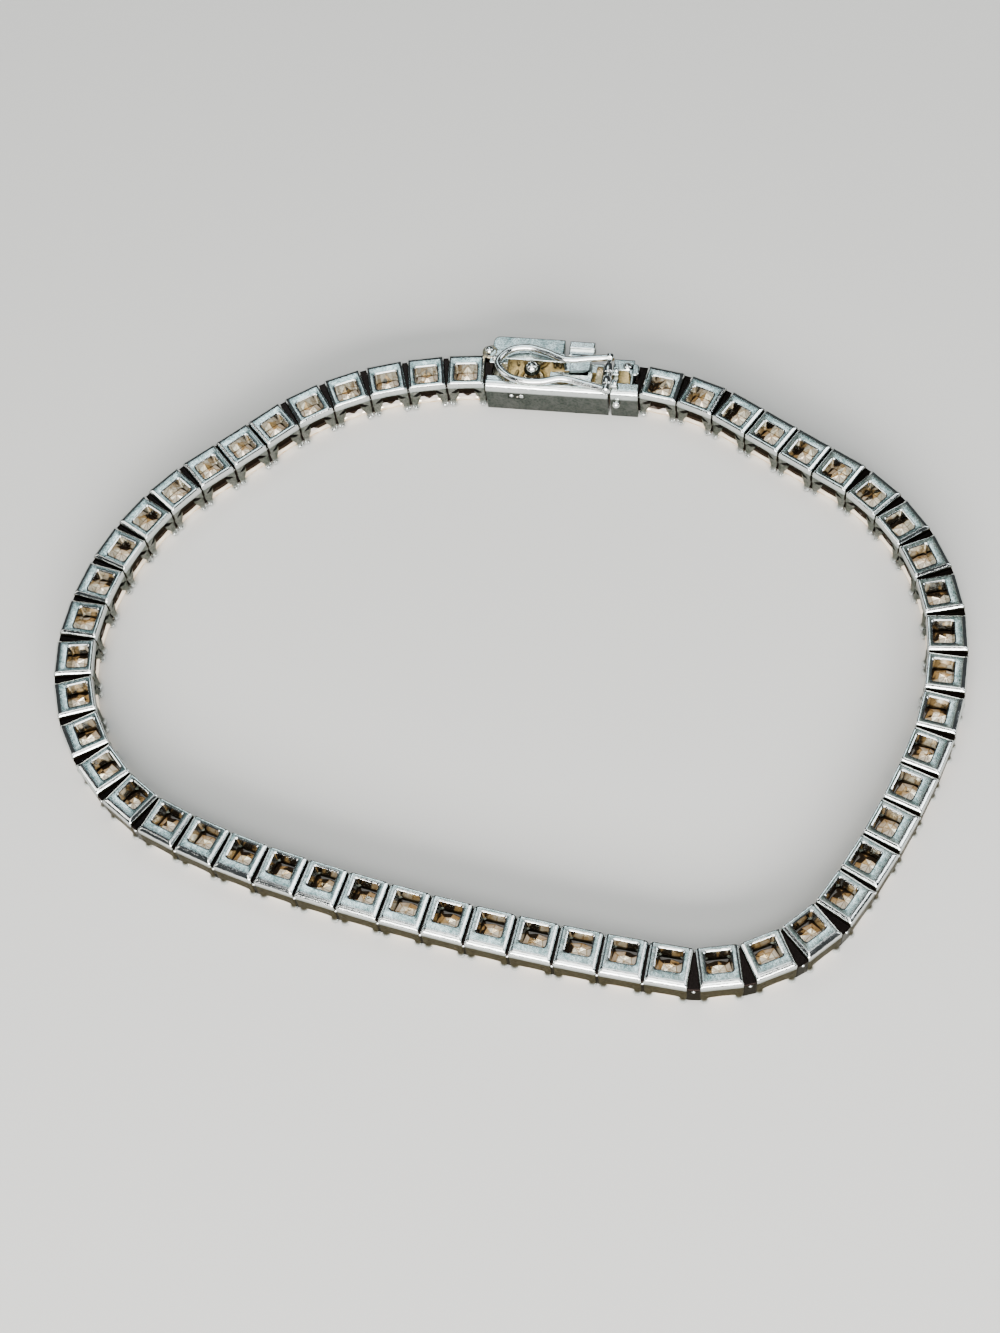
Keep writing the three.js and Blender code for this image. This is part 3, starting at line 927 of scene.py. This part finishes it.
class BRACELET_OT_safety_catch(bpy.types.Operator):
    """Makes the figure-eight wire of the safety catch with its hinge rod and eyes"""

    bl_idname = "bracelet.safety_catch"
    bl_label = "Make Safety Catch"

    def execute(self, context):
        flat = curve_through(CATCH_OUTLINE, 12)
        path = np.concatenate([flat, np.full((len(flat), 1), HINGE_Z)], 1)

        def along_hinge(y0, y1, radius, sides, wear):
            return rod((HINGE_X, y0, HINGE_Z), (HINGE_X, y1, HINGE_Z), radius, sides, wear=wear)

        skins = [
            tube(path, WIRE_RADIUS, 16, wear=0.9),
            along_hinge(-1.95, 1.5, 0.2, 12, 0.5),
            along_hinge(-1.97, -1.53, 0.36, 16, 1.0),
            along_hinge(1.08, 1.52, 0.36, 16, 1.0),
        ]
        metal = clasp_metal("bright_wire", 0.25)
        skin = merged(skins).moved(*clasp_place())
        make_piece("catch_wire", skin, metal, "catch", ["safety_catch"])
        return {"FINISHED"}


# ---- finishes ----
def set_inputs(made, values):
    for socket, value in values.items():
        made.inputs[socket].default_value = value


def node(tree, kind, inputs=None, **settings):
    """A new node, with its inputs set by socket name and the settings as attributes."""
    made = tree.nodes.new(kind)
    for key, value in settings.items():
        setattr(made, key, value)
    set_inputs(made, inputs or {})
    return made


def feed(tree, value, socket):
    """Links a socket's value, or sets a plain one."""
    if isinstance(value, bpy.types.NodeSocket):
        tree.links.new(value, socket)
    else:
        socket.default_value = value


def mark_of(tree, name, output="Fac"):
    return node(tree, "ShaderNodeAttribute", attribute_name=name).outputs[output]


def mixed(tree, factor, first, second):
    """A colour mix of two sockets or colours by a factor socket."""
    mix = node(tree, "ShaderNodeMix", data_type="RGBA")
    tree.links.new(factor, mix.inputs["Factor"])
    colours = [socket for socket in mix.inputs if socket.type == "RGBA"]
    for value, socket in zip((first, second), colours):
        feed(tree, value if isinstance(value, bpy.types.NodeSocket) else (*value, 1.0), socket)
    return next(socket for socket in mix.outputs if socket.type == "RGBA")


def ranged(tree, value, low, high, to_low=0.0, to_high=1.0):
    """A value mapped from low..high to to_low..to_high and held there."""
    limits = {"From Min": low, "From Max": high, "To Min": to_low, "To Max": to_high}
    made = node(tree, "ShaderNodeMapRange", limits)
    tree.links.new(value, made.inputs["Value"])
    return made.outputs["Result"]


def arithmetic(operation):
    """A function that works out two sockets or numbers in a math node."""

    def work_out(tree, a, b):
        made = node(tree, "ShaderNodeMath", operation=operation)
        feed(tree, a, made.inputs[0])
        feed(tree, b, made.inputs[1])
        return made.outputs[0]

    return work_out


times, plus, minus = arithmetic("MULTIPLY"), arithmetic("ADD"), arithmetic("SUBTRACT")


def new_material(name):
    material = bpy.data.materials.new(name)
    material.use_nodes = True
    tree = material.node_tree
    return material, tree, tree.nodes["Principled BSDF"]


def scaled_noise(tree, vector, scale, noise_scale, detail=3.0, rough=0.5):
    """Noise on the grain, drawn out by the scale along each axis."""
    mapping = node(tree, "ShaderNodeMapping", {"Scale": scale})
    tree.links.new(vector, mapping.inputs["Vector"])
    noise = node(tree, "ShaderNodeTexNoise", {"Scale": noise_scale, "Detail": detail, "Roughness": rough})
    tree.links.new(mapping.outputs["Vector"], noise.inputs["Vector"])
    return noise.outputs["Fac"]


def white_metal(name, finish, haze, dark, solder=False):
    """Polished white metal: hazy, finely scratched plates and bright worn edges, with solder (on the clasp)
    or a painted olive shade (on the settings) mixed in low down, and a near-black painted shade in joints and
    hollows.
    """
    material, tree, shader = new_material(name)
    grain = mark_of(tree, "grain", "Vector")
    wear = mark_of(tree, "wear")
    patina = mark_of(tree, "patina")
    clouds = ranged(tree, scaled_noise(tree, grain, (1, 1, 1), 1.1, 4.0, 0.6), 0.32, 0.68)
    flecks = ranged(tree, scaled_noise(tree, grain, (1, 1, 1), 5.0, 3.0, 0.6), 0.42, 0.7)
    lines = scaled_noise(tree, grain, (1.2, 16, 4), 2.2, 2.0)
    cross = scaled_noise(tree, grain, (14, 2.0, 4), 1.6, 2.0)
    hazy = plus(tree, times(tree, clouds, 0.55), times(tree, flecks, 0.5))
    hazy = plus(tree, hazy, 0.22)
    hazy = times(tree, times(tree, hazy, haze), minus(tree, 1.0, times(tree, wear, 0.85)))
    polished = mixed(tree, hazy, finish.metal, finish.haze)
    # On the clasp the patina share mixes in solder; on the settings it mixes in the gallery colour, a painted
    # olive shade with some dirt.
    solder_or_shade, deepest = (finish.solder, 0.4) if solder else (finish.gallery, 0.45)
    flecked_solder_or_shade = mixed(tree, flecks, solder_or_shade, [c * deepest for c in solder_or_shade])
    whole = mixed(tree, patina, polished, flecked_solder_or_shade)
    # The next mark mixes in the given near-black colour, a painted shade.
    whole = mixed(tree, mark_of(tree, "tone"), whole, dark)
    tree.links.new(whole, shader.inputs["Base Color"])
    scratched = ranged(tree, lines, 0.35, 0.75)
    rough = plus(tree, ranged(tree, clouds, 0, 1, 0.1, 0.24), times(tree, scratched, 0.08))
    rough = minus(tree, rough, times(tree, wear, 0.1))
    rough = plus(tree, rough, times(tree, patina, 0.16))
    tree.links.new(rough, shader.inputs["Roughness"])
    relief = plus(tree, lines, times(tree, cross, 0.7))
    bump = node(tree, "ShaderNodeBump", {"Strength": finish.scratch, "Distance": 0.00003})
    tree.links.new(relief, bump.inputs["Height"])
    tree.links.new(bump.outputs["Normal"], shader.inputs["Normal"])
    set_inputs(shader, {"Metallic": 1.0, "Specular Tint": (0.5, 0.5, 0.48, 1.0)})
    return material


def stone_material(name, finish):
    """Clear stone: painted bright, brown and near-black facets under a hard gloss, glowing faintly in their
    own colour as painted light.
    """
    material, tree, shader = new_material(name)
    tone = mark_of(tree, "tone")
    deep_shade = mark_of(tree, "patina")
    grain = mark_of(tree, "grain", "Vector")
    painted_fire = scaled_noise(tree, grain, (1, 1, 1), 1.4, 2.0, 0.6)
    level = plus(tree, tone, times(tree, minus(tree, painted_fire, 0.5), 0.5))
    painted_warm_light = mixed(tree, ranged(tree, level, 0.34, 0.56), finish.painted_brown, finish.stone)
    # Painted golden-brown outlines along the facets' borders.
    painted_outline = ranged(tree, mark_of(tree, "painted_outline"), 0.74, 0.92, 0.0, 0.85)
    painted_warm_light = mixed(tree, painted_outline, painted_warm_light, [c * 0.6 for c in finish.painted_brown])
    body = mixed(tree, ranged(tree, level, 0.26, 0.32), finish.shade, painted_warm_light)
    # Painted shade on the ring of facets above the girdle.
    body = mixed(tree, deep_shade, body, finish.shade)
    tree.links.new(body, shader.inputs["Base Color"])
    # Painted light: the facets glow faintly in their own colour, though no lamp is in them.
    tree.links.new(body, shader.inputs["Emission Color"])
    gloss = {"Roughness": 0.06, "IOR": 1.9, "Coat Weight": 0.3, "Coat Roughness": 0.03}
    set_inputs(shader, {"Metallic": 0.5, "Emission Strength": 0.42, **gloss})
    return material


# ---- stage ----
FLOOR_HALF = 2.0
LAMP_TARGET = (0.0, 0.0, 0.002)
CAMERA_TARGET = (0.0001, -0.0033, 0.00295)
SKY_COLOUR = (0.80, 0.86, 0.90, 1.0)

# Columns: name, azimuth, elevation, distance in m, width and height in m, power in W, colour.
LAMPS = (
    ("front_softbox", 8, 24, 0.34, 0.40, 0.13, 3.6, (1.0, 0.98, 0.95)),
    ("top_front_softbox", 5, 62, 0.42, 0.30, 0.22, 1.3, (1.0, 0.99, 0.96)),
    ("top_softbox", 190, 86, 0.42, 0.22, 0.12, 0.2, (0.95, 0.99, 1.0)),
    ("back_softbox", 200, 61, 0.40, 0.09, 0.17, 0.22, (0.78, 0.95, 1.0)),
    ("right_softbox", 164, 62, 0.42, 0.10, 0.12, 0.018, (0.95, 1.0, 0.85)),
    ("left_softbox", 222, 54, 0.42, 0.10, 0.12, 0.012, (0.70, 0.97, 1.0)),
    ("left_strip", -75, 32, 0.4, 0.08, 0.3, 0.4, (1.0, 0.97, 0.92)),
    ("right_strip", 95, 35, 0.4, 0.08, 0.3, 0.5, (0.92, 0.97, 1.0)),
)


def look_at(azimuth, elevation, distance, target):
    """A place at that azimuth and elevation, and the turn that looks back at the target."""
    level = math.cos(elevation)
    back = Vector((math.sin(azimuth) * level, -math.cos(azimuth) * level, math.sin(elevation)))
    return Vector(target) + back * distance, (-back).to_track_quat("-Z", "Y")


def placed(name, data, place, turn):
    """A lamp or camera in the scene, at a place and with a turn."""
    made = bpy.data.objects.new(name, data)
    made.location, made.rotation_mode, made.rotation_quaternion = place, "QUATERNION", turn
    bpy.context.scene.collection.objects.link(made)
    return made


class BRACELET_OT_stage(bpy.types.Operator):
    """Makes the plain floor, the soft studio lamps and the camera"""

    bl_idname = "bracelet.stage"
    bl_label = "Make Stage"

    def execute(self, context):
        stage = context.scene.bracelet_stage
        mesh = bpy.data.meshes.new("floor")
        corners = [(x * FLOOR_HALF, y * FLOOR_HALF, 0) for x, y in ((-1, -1), (1, -1), (1, 1), (-1, 1))]
        mesh.from_pydata(corners, [], [(0, 1, 2, 3)])
        floor = bpy.data.objects.new("floor", mesh)
        context.scene.collection.objects.link(floor)
        material, _, shader = new_material("pale_floor")
        set_inputs(shader, {"Base Color": (*stage.floor, 1.0), "Roughness": 0.75, "Specular IOR Level": 0.2})
        mesh.materials.append(material)

        world = context.scene.world or bpy.data.worlds.new("studio")
        context.scene.world = world
        world.use_nodes = True
        set_inputs(world.node_tree.nodes["Background"], {"Color": SKY_COLOUR, "Strength": stage.sky})

        for name, azimuth, elevation, distance, wide, high, power, tint in LAMPS:
            light = bpy.data.lights.new(name, "AREA")
            light.shape, light.size, light.size_y = "RECTANGLE", wide, high
            light.energy, light.color = power * stage.lamp, tint
            place, turn = look_at(math.radians(azimuth), math.radians(elevation), distance, LAMP_TARGET)
            placed(name, light, place, turn)

        camera = bpy.data.cameras.new("camera")
        camera.lens, camera.sensor_width = stage.lens, 36.0
        camera.clip_start, camera.clip_end = 0.005, 20.0
        place, turn = look_at(stage.azimuth, stage.elevation, stage.distance, CAMERA_TARGET)
        roll = Quaternion((0, 0, 1), stage.roll)
        context.scene.camera = placed("camera", camera, place, turn @ roll)
        return {"FINISHED"}


OPERATORS = (
    BRACELET_OT_settings,
    BRACELET_OT_stones,
    BRACELET_OT_clasp_box,
    BRACELET_OT_clasp_tongue,
    BRACELET_OT_safety_catch,
    BRACELET_OT_stage,
)
GROUPS = {
    "bracelet_settings": BraceletSettingSizes,
    "bracelet_stones": BraceletStoneSizes,
    "bracelet_finish": BraceletFinish,
    "bracelet_stage": BraceletStage,
}


class BRACELET_PT_panel(bpy.types.Panel):
    """Lists the steps that build the bracelet and its sizes and colours"""

    bl_idname = "BRACELET_PT_panel"
    bl_label = "Tennis Bracelet"
    bl_space_type = "VIEW_3D"
    bl_region_type = "UI"
    bl_category = "Bracelet"

    def draw(self, context):
        for operator in OPERATORS:
            self.layout.operator(operator.bl_idname)
        for name in GROUPS:
            group = getattr(context.scene, name)
            box = self.layout.box()
            for key in group.bl_rna.properties.keys():
                if key not in ("rna_type", "name"):
                    box.prop(group, key)


def register():
    for cls in (*GROUPS.values(), *OPERATORS, BRACELET_PT_panel):
        bpy.utils.register_class(cls)
    for name, cls in GROUPS.items():
        setattr(bpy.types.Scene, name, PointerProperty(type=cls))


def unregister():
    for name in GROUPS:
        delattr(bpy.types.Scene, name)
    for cls in (BRACELET_PT_panel, *OPERATORS, *GROUPS.values()):
        bpy.utils.unregister_class(cls)


def main():
    register()
    bpy.ops.bracelet.settings()
    bpy.ops.bracelet.stones()
    bpy.ops.bracelet.clasp_box()
    bpy.ops.bracelet.clasp_tongue()
    bpy.ops.bracelet.safety_catch()
    bpy.ops.bracelet.stage()


if __name__ == "__main__":
    main()
